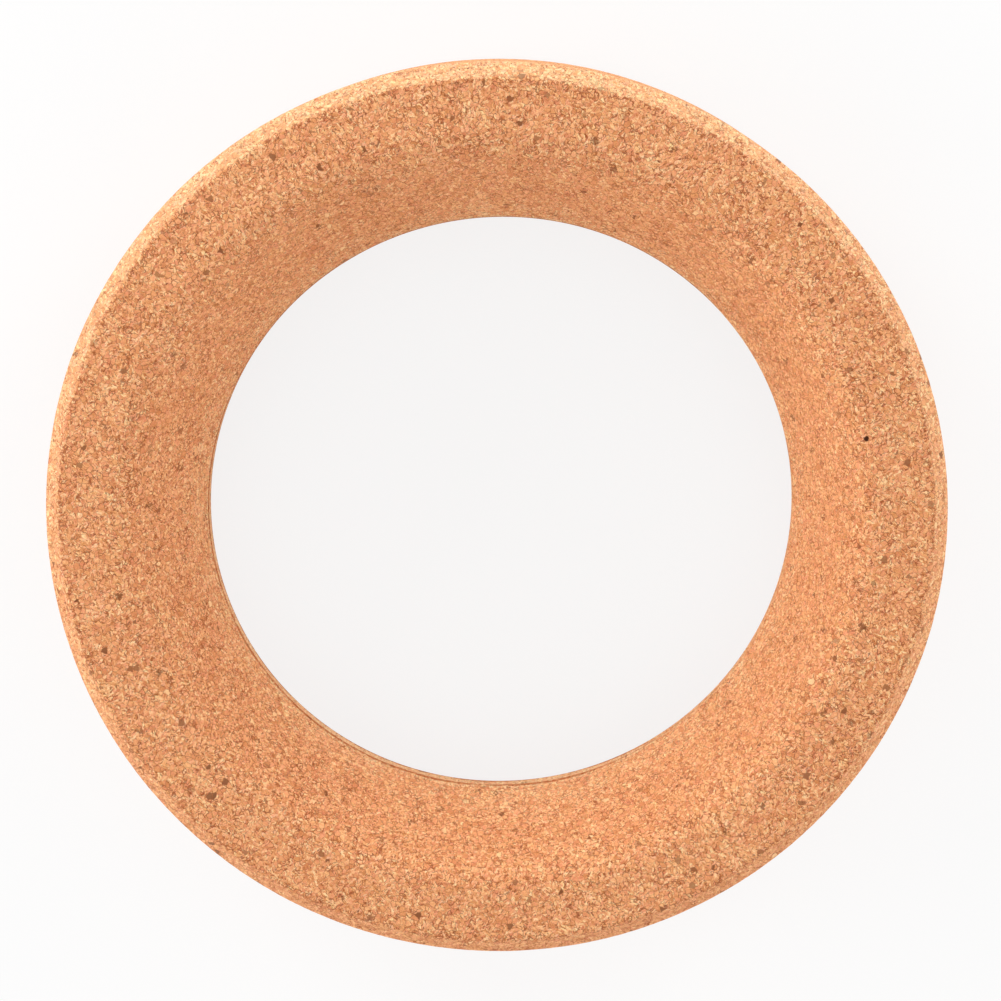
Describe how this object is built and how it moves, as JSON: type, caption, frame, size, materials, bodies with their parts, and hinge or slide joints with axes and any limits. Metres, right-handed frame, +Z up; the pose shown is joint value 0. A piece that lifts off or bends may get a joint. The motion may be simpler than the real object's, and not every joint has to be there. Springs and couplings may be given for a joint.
{
  "type": "cork ring",
  "caption": "Flat pressed-cork ring with chamfered rim and a convex flared seat on each face, which stands a round-bottomed flask upright.",
  "frame": {"origin": "centre of the ring on the flat face that it lies on", "axes": "+Z up along the ring's axis; the ring is the same all round, so X and Y are free"},
  "size_m": [0.14, 0.14, 0.03],
  "materials": {
    "cork": "pressed granulated cork, machined and unsealed, matte"
  },
  "bodies": {
    "root": {"cork_ring": "cork"}
  },
  "joints": []
}
